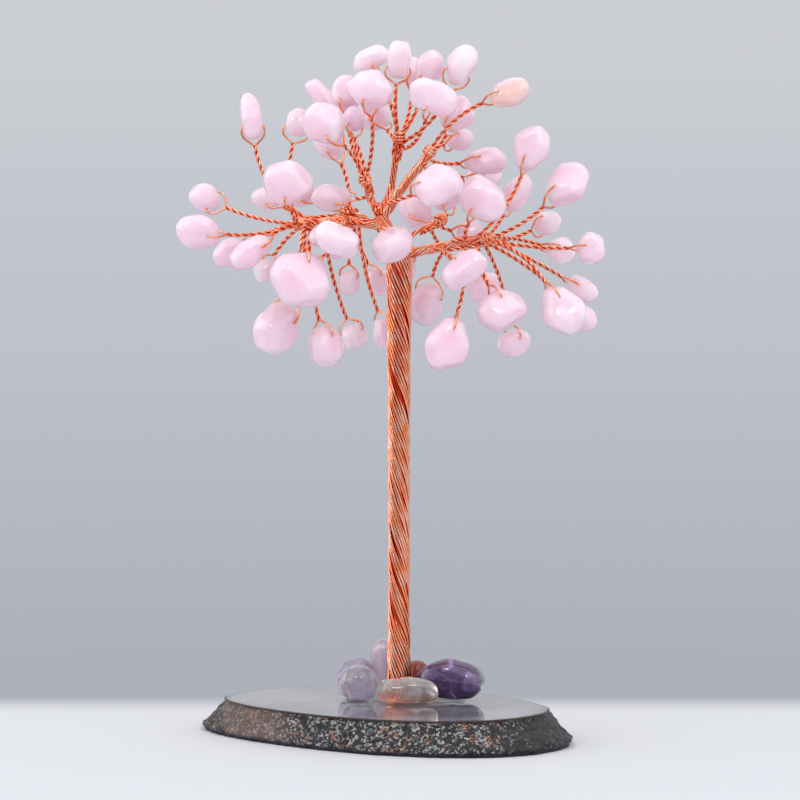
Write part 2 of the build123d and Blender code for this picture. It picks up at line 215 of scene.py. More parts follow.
# Wire plan in millimetres and shares of the crown's box
wirePlan = {
    "wireRadius": 0.21,
    "sides": 8,
    "slabTop": 6.2,
    "trunkTop": 86.5,
    "ring": 1.74,
    "pitch": 31.0,
    "footFlare": 0.3,
    "footPower": 7,
    "headSwell": 0.3,
    "headPower": 3,
    "strands": 22,
    "trunkSteps": 110,
    "trunkLoose": {"wander": 0.19, "recess": 0.36},
    "crownHalfWidth": 40.0,
    "crownHalfDepth": 24.0,
    "crownBase": 68.0,
    "crownHeight": 62.0,
    "stemStraight": 3.2,
    "stemRadius": 1.75,
    "stemTip": (-0.095, 0.0, 0.475),
    "bend": 2.4,
    "lineSpacing": 0.2,
    "limbPitch": 11.0,
    "twigPitch": 2.9,
    "chipLength": 10.0,
    "holeShare": 0.2,
    "swing": 18.0,
    "crotchGap": 0.95,
    "facing": 0.45,
    "standoff": 0.38,
    "cornerRadius": 0.45,
    "shortestSide": 0.1,
    "roundShare": 0.47,
    "leastShares": {"oval": 0.4, "drop": 0.28, "wedge": 0.36},
    "loopArcs": 0.15,
    "loopSpacing": 0.3,
    "pairSpacing": 0.28,
    "bundleSpacing": 0.5,
    "bundleShare": 0.92,
    "rearShare": 0.56,
    "taper": 0.35,
    "taperFrom": 0.5,
    "layer": 1.9,
    "wireGap": 2.15,
    "leastRing": 0.2,
    "limbLoose": {"wander": 0.09, "recess": 0.16},
    "neckShare": 0.6,
    "knotShare": 1.3,
    "knotLeast": 1.45,
    "knotReach": 0.72,
    "knotSteps": 110,
    "knotPitch": 0.62,
    "knotSink": 0.3,
    "knotTilt": (0.2, -0.5, 0.9),
    "knotDepth": 0.5,
    "knotLoose": {"wander": 0.2, "recess": 0.15},
    "tuck": 3.0,
    "tuckSteps": 6,
    "tuckRounds": 6,
}

# Each limb: radius share, where it leaves the stem, and the crown shares it follows
limbPlan = {
    "right": (0.6, 0.3, ((0.14, -0.02, 0.375), (0.41, -0.06, 0.405))),
    "left": (0.6, 0.82, ((-0.24, -0.03, 0.462), (-0.47, -0.08, 0.452))),
    "upper_left": (0.49, 1.0, ((-0.13, 0.02, 0.525), (-0.16, -0.02, 0.585))),
    "upper_right": (0.51, 0.9, ((0.005, -0.04, 0.55), (0.145, -0.02, 0.67))),
    "top": (0.43, 0.97, ((-0.035, 0.16, 0.565), (0.0, 0.06, 0.715))),
    "rear_right": (0.46, 0.45, ((0.08, 0.3, 0.43), (0.2, 0.52, 0.47))),
    "rear_left": (0.46, 0.72, ((-0.16, 0.3, 0.475), (-0.26, 0.54, 0.5))),
}

# Each twig, by limb: root share, chip's crown shares, lean and roll in degrees, chip sizes and form
twigRows = {
    "right": [
        (0.8, 0.62, 0.0, 0.68, 14, 75, 0.88, 0.72, 0.5, "drop"),
        (0.92, 0.56, 0.44, 0.55, 8, 70, 0.88, 0.54, 0.48, "oval"),
        (0.95, 0.79, 0.1, 0.57, 10, 60, 0.98, 0.8, 0.54, "drop"),
        (0.97, 0.71, 0.5, 0.46, 10, 45, 0.54, 0.5, 0.42, "oval"),
        (1.0, 0.9, -0.02, 0.38, 6, 80, 0.56, 0.68, 0.44, "wedge"),
        (1.0, 0.77, 0.48, 0.375, -8, 70, 0.62, 0.56, 0.44, "oval"),
        (1.0, 0.87, 0.3, 0.255, -4, 80, 0.72, 0.42, 0.4, "oval"),
        (1.0, 0.76, -0.28, 0.19, -15, 75, 1.02, 0.82, 0.55, "drop"),
        (0.93, 0.87, 0.12, 0.165, -10, 60, 0.54, 0.48, 0.42, "oval"),
        (0.93, 0.48, -0.36, 0.19, 12, 70, 0.82, 0.98, 0.55, "wedge"),
        (0.95, 0.55, 0.3, 0.09, -8, 60, 0.54, 0.7, 0.45, "oval"),
        (0.74, 0.225, -0.48, 0.09, -8, 85, 1.06, 0.84, 0.56, "drop"),
        (0.56, 0.3, -0.52, 0.31, 16, 80, 0.58, 0.94, 0.5, "wedge"),
        (0.66, 0.13, 0.36, 0.21, 14, 30, 0.9, 0.74, 0.54, "drop"),
        (0.8, 0.385, -0.26, 0.525, -12, 75, 0.8, 1.0, 0.58, "wedge"),
    ],
    "left": [
        (0.78, -0.695, 0.0, 0.78, -24, 10, 0.94, 0.62, 0.36, "oval"),
        (1.0, -0.48, 0.26, 0.762, -14, 10, 0.58, 0.5, 0.42, "drop"),
        (1.0, -0.915, 0.14, 0.53, -8, 35, 0.64, 0.6, 0.46, "oval"),
        (1.0, -0.935, -0.22, 0.425, -10, 75, 0.84, 0.66, 0.5, "wedge"),
        (0.98, -0.8, 0.24, 0.365, 8, 60, 0.7, 0.56, 0.46, "oval"),
        (0.97, -0.69, -0.3, 0.365, 8, 70, 0.88, 0.5, 0.42, "drop"),
        (0.96, -0.52, -0.42, 0.57, -10, 75, 0.85, 1.0, 0.6, "wedge"),
        (0.9, -0.63, 0.2, 0.53, 6, 60, 0.58, 0.42, 0.4, "oval"),
        (0.84, -0.445, -0.56, 0.28, 10, 65, 1.06, 1.22, 0.64, "wedge"),
        (0.9, -0.64, 0.18, 0.31, 10, 50, 0.5, 0.46, 0.4, "oval"),
        (0.93, -0.57, -0.2, 0.135, -10, 35, 1.06, 0.92, 0.6, "drop"),
        (0.86, -0.34, -0.14, 0.08, 8, 50, 0.8, 0.76, 0.5, "oval"),
        (0.7, -0.21, 0.26, 0.106, 8, 25, 0.56, 0.5, 0.42, "drop"),
        (0.66, -0.37, -0.34, 0.415, -12, 60, 0.52, 0.36, 0.3, "oval"),
        (0.42, -0.282, -0.6, 0.4, 10, 80, 0.62, 0.92, 0.5, "wedge"),
        (0.55, -0.235, 0.14, 0.275, -10, 40, 0.48, 0.42, 0.38, "oval"),
    ],
    "upper_left": [
        (0.5, -0.345, -0.2, 0.75, 10, 60, 0.85, 0.8, 0.55, "drop"),
        (0.82, -0.37, 0.16, 0.845, 14, 80, 0.78, 0.4, 0.38, "oval"),
        (0.9, -0.25, 0.4, 0.855, -8, 60, 0.74, 0.7, 0.5, "oval"),
        (1.0, -0.135, -0.3, 0.85, 8, 60, 0.76, 0.95, 0.55, "wedge"),
        (1.0, -0.21, 0.04, 0.77, -8, 52, 0.5, 0.46, 0.4, "oval"),
        (0.76, -0.315, 0.25, 0.535, -16, 60, 0.76, 0.5, 0.45, "drop"),
        (0.4, 0.18, -0.57, 0.56, 8, 60, 0.92, 0.85, 0.6, "wedge"),
    ],
    "top": [
        (0.95, -0.13, 0.14, 0.955, 8, 80, 0.44, 0.76, 0.42, "oval"),
        (1.0, 0.0, -0.14, 0.945, -6, 10, 0.72, 0.46, 0.4, "drop"),
        (1.0, 0.07, 0.32, 0.92, 8, 60, 0.62, 0.46, 0.42, "oval"),
        (0.97, 0.145, 0.06, 0.925, 8, 60, 0.7, 0.5, 0.46, "drop"),
        (0.92, 0.29, -0.1, 0.93, 16, 30, 0.82, 0.66, 0.5, "oval"),
        (0.88, 0.155, -0.4, 0.825, 20, 75, 0.66, 1.0, 0.5, "oval"),
        (0.85, -0.12, 0.62, 0.8, 8, 60, 0.75, 0.66, 0.5, "wedge"),
    ],
    "upper_right": [
        (0.98, 0.278, 0.16, 0.79, 8, 60, 0.75, 0.7, 0.5, "oval"),
        (0.96, 0.29, 0.44, 0.716, -8, 60, 0.56, 0.48, 0.42, "oval"),
        (1.0, 0.508, -0.06, 0.848, -14, 70, 0.82, 0.54, 0.44, "drop"),
        (0.92, 0.41, 0.3, 0.648, 8, 70, 0.82, 0.52, 0.46, "wedge"),
        (0.84, 0.42, 0.66, 0.6, 8, 70, 0.82, 0.54, 0.46, "oval"),
    ],
    "rear_right": [
        (0.92, 0.345, 0.56, 0.428, 10, 60, 0.54, 0.5, 0.44, "oval"),
        (0.6, 0.03, 0.52, 0.33, 10, 50, 0.7, 0.44, 0.42, "drop"),
        (1.0, 0.24, 0.84, 0.56, 12, 60, 0.8, 0.7, 0.5, "wedge"),
        (0.8, 0.42, 0.8, 0.26, 10, 60, 0.8, 0.74, 0.5, "drop"),
        (0.94, 0.08, 0.95, 0.5, -12, 60, 0.8, 0.66, 0.5, "oval"),
    ],
    "rear_left": [
        (0.7, -0.06, 0.52, 0.12, 8, 60, 0.7, 0.5, 0.44, "drop"),
        (0.85, -0.1, 0.72, 0.28, 8, 60, 0.6, 0.5, 0.44, "oval"),
        (1.0, -0.5, 0.64, 0.57, -10, 60, 0.8, 0.76, 0.52, "wedge"),
        (0.97, -0.3, 0.92, 0.42, 10, 60, 0.84, 0.7, 0.52, "drop"),
        (0.92, -0.33, 0.7, 0.72, 10, 60, 0.8, 0.7, 0.5, "oval"),
        (0.9, -0.46, 0.66, 0.3, -10, 60, 0.8, 0.74, 0.5, "wedge"),
    ],
    "stem": [
        (0.62, -0.03, -0.36, 0.385, 14, 80, 0.84, 0.8, 0.56, "drop"),
    ],
}
twigPlan = {}
for limb, rows in twigRows.items():
    twigPlan.update({f"{limb}_{number}": (limb, *row) for number, row in enumerate(rows, 1)})


def unit(vector):
    return vector / np.linalg.norm(vector)


def crownPoint(across, back, up):
    plan = wirePlan
    height = plan["crownBase"] + up * plan["crownHeight"]
    return np.array((across * plan["crownHalfWidth"], back * plan["crownHalfDepth"], height))


def turned(vector, axis, angle):
    axis = unit(np.array(axis, float))
    straight = vector * cos(angle) + np.cross(axis, vector) * sin(angle)
    return straight + axis * axis.dot(vector) * (1 - cos(angle))


def lengths(line):
    return np.concatenate(([0], np.cumsum(np.linalg.norm(np.diff(line, axis=0), axis=1))))


def evenly(line, spacing):
    run = lengths(line)
    count = max(2, int(round(run[-1] / spacing)) + 1)
    places = np.linspace(0, run[-1], count)
    return np.stack([np.interp(places, run, line[:, axis]) for axis in range(3)], axis=1)


def atShare(line, share):
    run = lengths(line)
    return np.array([np.interp(share * run[-1], run, line[:, axis]) for axis in range(3)])


def roundedLine(corners, radii, spacing=0.2):
    corners = [np.array(corner, float) for corner in corners]
    line = [corners[0]]
    for before, corner, after, radius in zip(corners, corners[1:], corners[2:], radii):
        back, ahead = unit(before - corner), unit(after - corner)
        half = np.arccos(np.clip(back.dot(ahead), -1, 1)) / 2
        centre = corner + unit(back + ahead) * radius / sin(half)
        first = corner + back * radius / tan(half) - centre
        last = corner + ahead * radius / tan(half) - centre
        turn = pi - 2 * half
        for share in np.linspace(0, 1, max(3, int(radius * turn / spacing) + 2)):
            line.append(centre + (sin((1 - share) * turn) * first + sin(share * turn) * last) / sin(turn))
    line.append(corners[-1])
    return np.array(line)


def arcFrom(start, end, direction, count=24):
    chord = end - start
    aside = chord - direction * chord.dot(direction)
    if np.linalg.norm(aside) < nearZero:
        return np.linspace(start, end, count)
    radius = chord.dot(chord) / (2 * np.linalg.norm(aside))
    turn = 2 * atan2(np.linalg.norm(aside), chord.dot(direction))
    angles = np.linspace(0, turn, count)[:, None]
    return start + radius * (np.sin(angles) * direction + (1 - np.cos(angles)) * unit(aside))


def stemLine():
    plan = wirePlan
    foot = np.array((0, 0, plan["trunkTop"]))
    bend = foot + np.array((0, 0, plan["stemStraight"]))
    line = roundedLine((foot, bend, crownPoint(*plan["stemTip"])), [plan["bend"]])
    return evenly(line, plan["lineSpacing"])


def limbLine(name):
    stem = stemLine()
    if name == "stem":
        return stem
    _, rootShare, shares = limbPlan[name]
    corners = [atShare(stem, rootShare)] + [crownPoint(*share) for share in shares]
    return evenly(roundedLine(corners, [wirePlan["bend"]]), wirePlan["lineSpacing"])


def limbRadius(name):
    return wirePlan["stemRadius"] * (limbPlan[name][0] if name in limbPlan else 1)


def chipFrame(twig):
    # the hole's place, the way out from the twig, and the way along the hole
    limb, rootShare, across, back, up, lean, roll, long = twig[:8]
    root = atShare(limbLine(limb), rootShare)
    centre = crownPoint(across, back, up)
    chord = centre - root
    facing = unit(chord * np.array((1, wirePlan["facing"], 1)))
    outward = turned(facing, (0, -1, 0), radians(lean))
    level = unit(np.cross(outward, (0, 1, 0)))
    alongHole = turned(level, outward, radians(roll))
    hole = centre - outward * wirePlan["holeShare"] * long * wirePlan["chipLength"]
    return hole, outward, alongHole, root


def firstNormal(direction):
    # the normal that a curve of least twist starts with
    if abs(direction[0]) + abs(direction[1]) < upright:
        return np.array((1.0, 0, 0))
    return unit(np.array((direction[1], -direction[0], 0)))


def loopCorners(sizes, form):
    # along and beside the hole's frame: from the crotch round the worn end and through the hole
    plan = wirePlan
    length, width, thickness = sizes
    nearEnd = length * (0.5 - plan["holeShare"])
    swing = radians(plan["swing"])
    nearEnd = max(nearEnd, hypot(nearEnd * cos(swing), width / 2 * sin(swing)))
    crotch = nearEnd + plan["crotchGap"]
    worn = plan["roundShare"] * min(thickness, 2 * plan["leastShares"][form] * min(length, width))
    worn = min(worn, nearEnd - plan["cornerRadius"] - plan["shortestSide"])
    stand = thickness / 2 + plan["standoff"]
    bend = worn + plan["standoff"]
    along, across = crotch - nearEnd + worn, thickness / 2 - worn - plan["wireRadius"]
    opening = atan2(across, along) + asin(bend / hypot(along, across))
    shoulder = crotch - (stand - plan["wireRadius"]) / tan(opening)
    half = [(-crotch, plan["wireRadius"]), (-shoulder, stand), (0, stand)]
    corners = [(x, -y) for x, y in half] + half[::-1]
    return crotch, corners, (bend, plan["cornerRadius"], plan["cornerRadius"], bend)


def wound(ring, strands, pitch, phase=0.0, wander=0.0, recess=0.0):
    # how the wires of a run lie about its line
    looks = {"ring": ring, "strands": strands, "pitch": pitch}
    return {**looks, "phase": phase, "wander": wander, "recess": recess}


def twigRuns(twig):
    plan = wirePlan
    limb, rootShare = twig[:2]
    hole, outward, alongHole, root = chipFrame(twig)
    sizes = [share * plan["chipLength"] for share in twig[7:10]]
    crotch, places, radii = loopCorners(sizes, twig[10])
    corners = [hole + outward * along + alongHole * aside for along, aside in places]
    loop = evenly(roundedLine(corners, radii, plan["loopArcs"]), plan["loopSpacing"])
    start = hole - outward * crotch
    arc = arcFrom(start, root, -outward)
    # the pair goes on a little way along the limb, on its outside
    line = limbLine(limb)
    radius = limbRadius(limb)
    back = max(0.0, rootShare - plan["tuck"] / lengths(line)[-1])
    along = unit(root - atShare(line, back))
    aside = start - root
    beside = unit(aside - along * aside.dot(along)) * radius
    shares = np.linspace(rootShare, back, plan["tuckSteps"])[1:]
    tail = [atShare(line, share) + beside for share in shares]
    reach = lengths(arc)
    kept = arc[reach < reach[-1] - radius]
    pair = evenly(np.concatenate((kept, tail)), plan["pairSpacing"])
    for _ in range(plan["tuckRounds"]):
        pair[1:-1] = (pair[:-2] + 2 * pair[1:-1] + pair[2:]) / 4
    direction = unit(pair[1] - pair[0])
    normal = firstNormal(direction)
    phase = atan2(alongHole.dot(np.cross(direction, normal)), alongHole.dot(normal))
    return [(pair, wound(plan["wireRadius"], 2, plan["twigPitch"], phase)), (loop, wound(0.0, 1, 1.0))]


def bundleRuns(name):
    plan = wirePlan
    line = evenly(limbLine(name), plan["bundleSpacing"])
    share = np.linspace(0, 1, len(line))
    late = np.clip((share - plan["taperFrom"]) / (1 - plan["taperFrom"]), 0, 1)
    closing = 1 - plan["taper"] * late**2
    kept = plan["rearShare" if name.startswith("rear") else "bundleShare"]
    ring = limbRadius(name) * kept - plan["wireRadius"]
    layer = plan["layer"] * plan["wireRadius"]
    if name == "stem":
        # the trunk's own wires are its outer layer
        ring -= layer
    runs = []
    while ring > plan["leastRing"]:
        count = max(2, int(2 * pi * ring / (plan["wireGap"] * plan["wireRadius"])))
        runs.append((line, wound(ring * closing, count, -plan["limbPitch"], ring, **plan["limbLoose"])))
        ring -= layer
    return runs


def knotRuns(name):
    # wire wound into a small ball at the end of a limb, about two axes
    plan = wirePlan
    line = limbLine(name)
    way = unit(line[-1] - line[-2])
    ball = max(limbRadius(name) * plan["knotShare"], plan["knotLeast"])
    places = np.linspace(-plan["knotReach"], plan["knotReach"], plan["knotSteps"]) * ball
    ring = np.sqrt(ball**2 - places**2) - plan["knotSink"]
    runs = []
    for depth, axis in ((0.0, way), (plan["knotDepth"], unit(way + np.array(plan["knotTilt"])))):
        looks = wound(ring - depth * plan["wireRadius"], 1, plan["knotPitch"], depth, **plan["knotLoose"])
        runs.append((line[-1] + places[:, None] * axis, looks))
    return runs


def trunkRuns():
    # the outer wires, from the slice to the tip of the stem
    plan = wirePlan
    heights = np.linspace(plan["slabTop"], plan["trunkTop"], plan["trunkSteps"])
    line = np.stack((0 * heights, 0 * heights, heights), axis=1)
    rise = (heights - plan["slabTop"]) / (plan["trunkTop"] - plan["slabTop"])
    flare = plan["footFlare"] * (1 - rise) ** plan["footPower"]
    swell = plan["headSwell"] * rise ** plan["headPower"]
    ring = plan["ring"] * (1 + flare + swell)
    stem = evenly(stemLine(), plan["bundleSpacing"])[1:]
    tip = plan["stemRadius"] * plan["bundleShare"] - plan["wireRadius"]
    share = np.clip(np.linspace(0, 1, len(stem)) / plan["neckShare"], 0, 1)
    neck = ring[-1] + (tip - ring[-1]) * share * share * (3 - 2 * share)
    looks = wound(np.concatenate((ring, neck)), plan["strands"], -plan["pitch"], **plan["trunkLoose"])
    return [(np.concatenate((line, stem)), looks)]


# Winding: noise that sets the wires apart, and lets some lie deeper, with painted shade on them
windingPlan = {
    "roundUp": 0.25,
    "seed": 3.0,
    "wanderScale": 120.0,
    "wanderLane": 7.31,
    "wanderSpread": 2.0,
    "sunkScale": 75.0,
    "sunkLane": 0.83,
    "sunkSeed": 9.0,
    "sunkRange": (0.5, 0.68),
    "sunkShade": 0.55,
    "singleBelow": 1.5,
}


def windingTree():
    plan = windingPlan
    tree = bpy.data.node_groups.new("woundWire", "GeometryNodeTree")
    tree.interface.new_socket("Geometry", in_out="INPUT", socket_type="NodeSocketGeometry")
    for name, kind in (
        ("Wire Radius", "NodeSocketFloat"),
        ("Sides", "NodeSocketInt"),
        ("Wander Scale", "NodeSocketFloat"),
        ("Sunk Scale", "NodeSocketFloat"),
        ("Seed", "NodeSocketFloat"),
        ("Metal", "NodeSocketMaterial"),
    ):
        tree.interface.new_socket(name, in_out="INPUT", socket_type=kind)
    tree.interface.new_socket("Geometry", in_out="OUTPUT", socket_type="NodeSocketGeometry")
    given = tree.nodes.new("NodeGroupInput")
    graph = Wired(tree)

    def wanted(name):
        return Wired(tree, given.outputs[name])

    def stored(name):
        return graph.node("GeometryNodeInputNamedAttribute", {"data_type": "FLOAT"}, {"Name": name})

    def keep(geometry, kind, name, value):
        settings = {"data_type": kind, "domain": "POINT"}
        sockets = {"Geometry": geometry, "Name": name, "Value": value}
        return graph.node("GeometryNodeStoreNamedAttribute", settings, sockets)

    def vector(operation, first, second, out=0):
        return graph.node("ShaderNodeVectorMath", {"operation": operation}, {0: first, 1: second}, out)

    def scaled(first, amount):
        return graph.node("ShaderNodeVectorMath", {"operation": "SCALE"}, {0: first, "Scale": amount})

    def ripple(along, lane, seed):
        spot = graph.node("ShaderNodeCombineXYZ", None, {"X": along, "Y": lane, "Z": seed})
        return cloud(graph, spot, 1.0, 1.0)

    line = graph.node("GeometryNodeMeshToCurve", None, {"Mesh": wanted("Geometry")})
    strands = stored("strands")
    amount = {"Geometry": line, "Amount": strands + plan["roundUp"]}
    copies = graph.node("GeometryNodeDuplicateElements", {"domain": "SPLINE"}, amount)
    index = copies.also("Duplicate Index")
    length = graph.node("GeometryNodeSplineParameter", out="Length")
    angle = stored("phase") + index / strands * (2 * pi) + length / stored("pitch") * (2 * pi)
    normal = graph.node("GeometryNodeInputNormal")
    aside = vector("CROSS_PRODUCT", graph.node("GeometryNodeInputTangent"), normal)
    seed = wanted("Seed")
    drift = ripple(length * wanted("Wander Scale"), index * plan["wanderLane"], seed).also("Color")
    drift = vector("SUBTRACT", drift, (0.5, 0.5, 0.5))
    drift = scaled(drift, stored("wander") * plan["wanderSpread"])
    outward = vector(
        "ADD",
        scaled(normal, graph.maths("COSINE", angle)),
        scaled(aside, graph.maths("SINE", angle)),
    )
    marked = keep(copies, "FLOAT_VECTOR", "outward", outward)
    lane = ripple(length * wanted("Sunk Scale"), index * plan["sunkLane"], seed + plan["sunkSeed"])
    sunk = step(graph, lane, *plan["sunkRange"])
    # painted shade: where a wire is sunk, its colour is darkened
    marked = keep(marked, "FLOAT", "sunk", sunk * graph.maths("GREATER_THAN", stored("recess"), 0.0))
    offset = vector("ADD", scaled(outward, stored("ring") - sunk * stored("recess")), drift)
    placed = graph.node("GeometryNodeSetPosition", None, {"Geometry": marked, "Offset": offset})
    profile = graph.node(
        "GeometryNodeCurvePrimitiveCircle",
        {"mode": "RADIUS"},
        {"Resolution": wanted("Sides"), "Radius": wanted("Wire Radius")},
    )
    wires = graph.node(
        "GeometryNodeCurveToMesh",
        None,
        {"Curve": placed, "Profile Curve": profile, "Fill Caps": True},
    )
    away = graph.node("GeometryNodeInputNamedAttribute", {"data_type": "FLOAT_VECTOR"}, {"Name": "outward"})
    # painted shade: the side of each wire that faces into its run gets a low value, which the copper turns
    # to deep red; single wires are not shaded
    facing = vector("DOT_PRODUCT", graph.node("GeometryNodeInputNormal"), away, out="Value") * 0.5 + 0.5
    # painted shade: sunk wires are darker still
    facing = facing * (1.0 - stored("sunk") * plan["sunkShade"])
    outside = graph.maths("MAXIMUM", facing, graph.maths("LESS_THAN", strands, plan["singleBelow"]))
    shaded = keep(wires, "FLOAT", "outside", outside)
    smooth = graph.node("GeometryNodeSetShadeSmooth", None, {0: shaded})
    real = graph.node("GeometryNodeRealizeInstances", None, {"Geometry": smooth})
    painted = graph.node("GeometryNodeSetMaterial", None, {"Geometry": real, "Material": wanted("Metal")})
    graph.put(tree.nodes.new("NodeGroupOutput").inputs[0], painted)
    return tree


def linked(name, mesh):
    piece = bpy.data.objects.new(name, mesh)
    bpy.context.scene.collection.objects.link(piece)
    return piece


def plainMesh(piece):
    # the evaluated object as a mesh of its own, with no modifiers left
    bpy.context.view_layer.update()
    seen = piece.evaluated_get(bpy.context.evaluated_depsgraph_get())
    mesh = bpy.data.meshes.new_from_object(seen)
    piece.modifiers.clear()
    old = piece.data
    piece.data = mesh
    bpy.data.meshes.remove(old)
    return piece


def woundPiece(name, runs, tree):
    points, edges = [], []
    units = {"ring": mm, "strands": 1, "pitch": mm, "phase": 1, "wander": mm, "recess": mm}
    kept = {key: [] for key in units}
    for line, looks in runs:
        first = len(points)
        points += [tuple(point * mm) for point in line]
        edges += [(first + number, first + number + 1) for number in range(len(line) - 1)]
        for key, unitSize in units.items():
            kept[key] += list(np.broadcast_to(np.array(looks[key], float) * unitSize, len(line)))
    mesh = bpy.data.meshes.new(name)
    mesh.from_pydata(points, edges, [])
    for key, values in kept.items():
        mesh.attributes.new(key, "FLOAT", "POINT").data.foreach_set("value", np.array(values, np.float32))
    piece = linked(name, mesh)
    modifier = piece.modifiers.new("winding", "NODES")
    modifier.node_group = tree
    wanted = {
        "Wire Radius": wirePlan["wireRadius"] * mm,
        "Sides": wirePlan["sides"],
        "Wander Scale": windingPlan["wanderScale"],
        "Sunk Scale": windingPlan["sunkScale"],
        "Seed": windingPlan["seed"],
        "Metal": copper,
    }
    for item in tree.interface.items_tree:
        if item.in_out == "INPUT" and item.name in wanted:
            modifier[item.identifier] = wanted[item.name]
    plainMesh(piece)
    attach(piece, "tree")
    return piece


winding = windingTree()
trunk = woundPiece("trunkRope", trunkRuns(), winding)
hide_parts("trunk_strands")
for limb in ["stem", *limbPlan]:
    runs = bundleRuns(limb) + (knotRuns(limb) if limb in limbPlan else [])
    for twig in twigPlan.values():
        if twig[0] == limb:
            runs += twigRuns(twig)
    wires = woundPiece(f"{limb}Wires", runs, winding)
    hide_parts(f"{limb}_bundle", f"{limb}_twigs")
    print("wires of the", limb, "limb:", len(wires.data.polygons), "faces")
nodes["trunk_core"].data.materials.clear()
nodes["trunk_core"].data.materials.append(copper)

# Chips and pebbles: the solids worn to softer, less regular stones
wornPlan = {
    "voxel": 0.3,
    "facets": 9,
    "facetShares": (0.05, 0.2),
    "smoothing": 13,
    "swell": 0.5,
    "dents": ((0.6, 0.17), (0.25, 0.42), (0.05, 1.1)),
    "dentShift": 40.0,
}
everyAxis = {"use_axis_x": True, "use_axis_y": True, "use_axis_z": True}


def evenNoise(place):
    # noise from 0 to 1
    return noise.noise(place) * 0.5 + 0.5


def placesOf(mesh):
    places = np.empty(len(mesh.vertices) * 3)
    mesh.vertices.foreach_get("co", places)
    return places.reshape(-1, 3) / mm


def nearestOf(places, centres):
    return np.linalg.norm(places[:, None] - np.array(list(centres.values())), axis=2).argmin(axis=1)


def chipped(mesh, centres, plan):
    # flat chips knocked off each stone, by planes that are its own
    places = placesOf(mesh)
    centres = centres or {mesh.name: places.mean(axis=0)}
    nearest = nearestOf(places, centres)
    for number, (key, centre) in enumerate(centres.items()):
        chance = random.Random(key)
        spots = places[nearest == number] - centre
        for _ in range(plan["facets"]):
            way = unit(np.array([chance.gauss(0, 1) for _ in range(3)]))
            reach = spots @ way
            over = reach - reach.max() * (1 - chance.uniform(*plan["facetShares"]))
            spots = spots - np.maximum(over, 0)[:, None] * way
        places[nearest == number] = spots + centre
    mesh.vertices.foreach_set("co", (places * mm).ravel())


def wornStone(name, nodeName, material, plan, centres=None):
    mesh = nodes[nodeName].data.copy()
    mesh.materials.clear()
    mesh.materials.append(material)
    work = bmesh.new()
    work.from_mesh(mesh)
    bmesh.ops.remove_doubles(work, verts=work.verts, dist=nearZero)
    work.to_mesh(mesh)
    work.free()
    piece = linked(name, mesh)
    remesh = piece.modifiers.new("wear", "REMESH")
    remesh.mode = "VOXEL"
    remesh.voxel_size = plan["voxel"] * mm
    remesh.use_smooth_shade = True
    plainMesh(piece)
    chipped(piece.data, centres, plan)
    work = bmesh.new()
    work.from_mesh(piece.data)
    for _ in range(plan["smoothing"]):
        bmesh.ops.smooth_vert(work, verts=work.verts, factor=0.5, **everyAxis)
    work.normal_update()
    shift = []
    for vert in work.verts:
        depth = -plan["swell"]
        for number, (amount, scale) in enumerate(plan["dents"]):
            place = vert.co / mm * scale + Vector((plan["dentShift"] * number, 0, 0))
            depth += amount * evenNoise(place)
        shift.append(vert.normal * depth * mm)
    for vert, move in zip(work.verts, shift):
        vert.co -= move
    for face in work.faces:
        face.smooth = True
    work.to_mesh(piece.data)
    work.free()
    return piece


# Chips that differ from the plain milky pink
chipLooks = {
    "top_5": {"tint": 0.95},
    "left_10": {"tint": 1.0},
    "top_1": {"tint": 1.0},
    "upper_right_3": {"tint": 0.5, "rust": 0.7},
    "upper_left_5": {"tint": 0.6, "violet": 0.6},
    "right_12": {"tint": 0.15},
    "left_9": {"tint": 0.1},
    "left_7": {"tint": 0.3},
}


def tintChips(piece, centres):
    rows = []
    for name in centres:
        looks = {"tint": random.Random(name).uniform(*quartzLook["tints"]), "rust": 0.0, "violet": 0.0}
        looks.update(chipLooks.get(name, {}))
        rows.append(looks)
    nearest = nearestOf(placesOf(piece.data), centres)
    for key in ("tint", "rust", "violet"):
        values = np.array([row[key] for row in rows], np.float32)[nearest]
        piece.data.attributes.new(key, "FLOAT", "POINT").data.foreach_set("value", values)


def quartzPiece(name, nodeName, chipNames, body):
    centres = {chip: crownPoint(*twigPlan[chip][2:5]) for chip in chipNames}
    piece = wornStone(name, nodeName, quartz, wornPlan, centres)
    tintChips(piece, centres)
    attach(piece, body)
    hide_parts(nodeName)


wedged = {}
for name, twig in twigPlan.items():
    if f"chip_{name}" in nodes:
        quartzPiece(f"quartz_{name}", f"chip_{name}", [name], f"chip_{name}")
    else:
        wedged.setdefault(twig[0].split("_")[0], []).append(name)
for side, names in wedged.items():
    quartzPiece(f"{side}WedgedQuartz", f"{side}_wedged_chips", names, "tree")
print("chips made")

